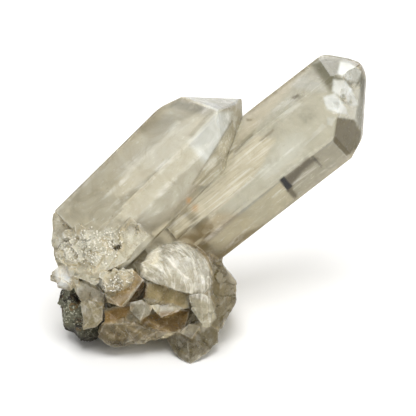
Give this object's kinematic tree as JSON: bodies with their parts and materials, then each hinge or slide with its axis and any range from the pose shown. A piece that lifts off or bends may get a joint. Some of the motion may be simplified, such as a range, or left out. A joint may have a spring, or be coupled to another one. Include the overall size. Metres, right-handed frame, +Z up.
{
  "type": "quartz crystal cluster",
  "caption": "Natural quartz cluster: long six-sided points leaning side by side out of a broken quartz base, with a scrap of dark host rock; stands on its flat-cut base.",
  "frame": {"origin": "on the surface that the cluster stands on, under the middle of its box", "axes": "+Z up, +X to the side that the points lean to, -Y towards the side with the host rock and the fan-shaped break"},
  "size_m": [0.1058, 0.0704, 0.0849],
  "materials": {
    "quartz": "natural crystal faces, clear to milky",
    "rock": "rough and broken"
  },
  "bodies": {
    "root": {"quartz_cluster": "quartz", "host_rock": "rock"}
  },
  "joints": []
}
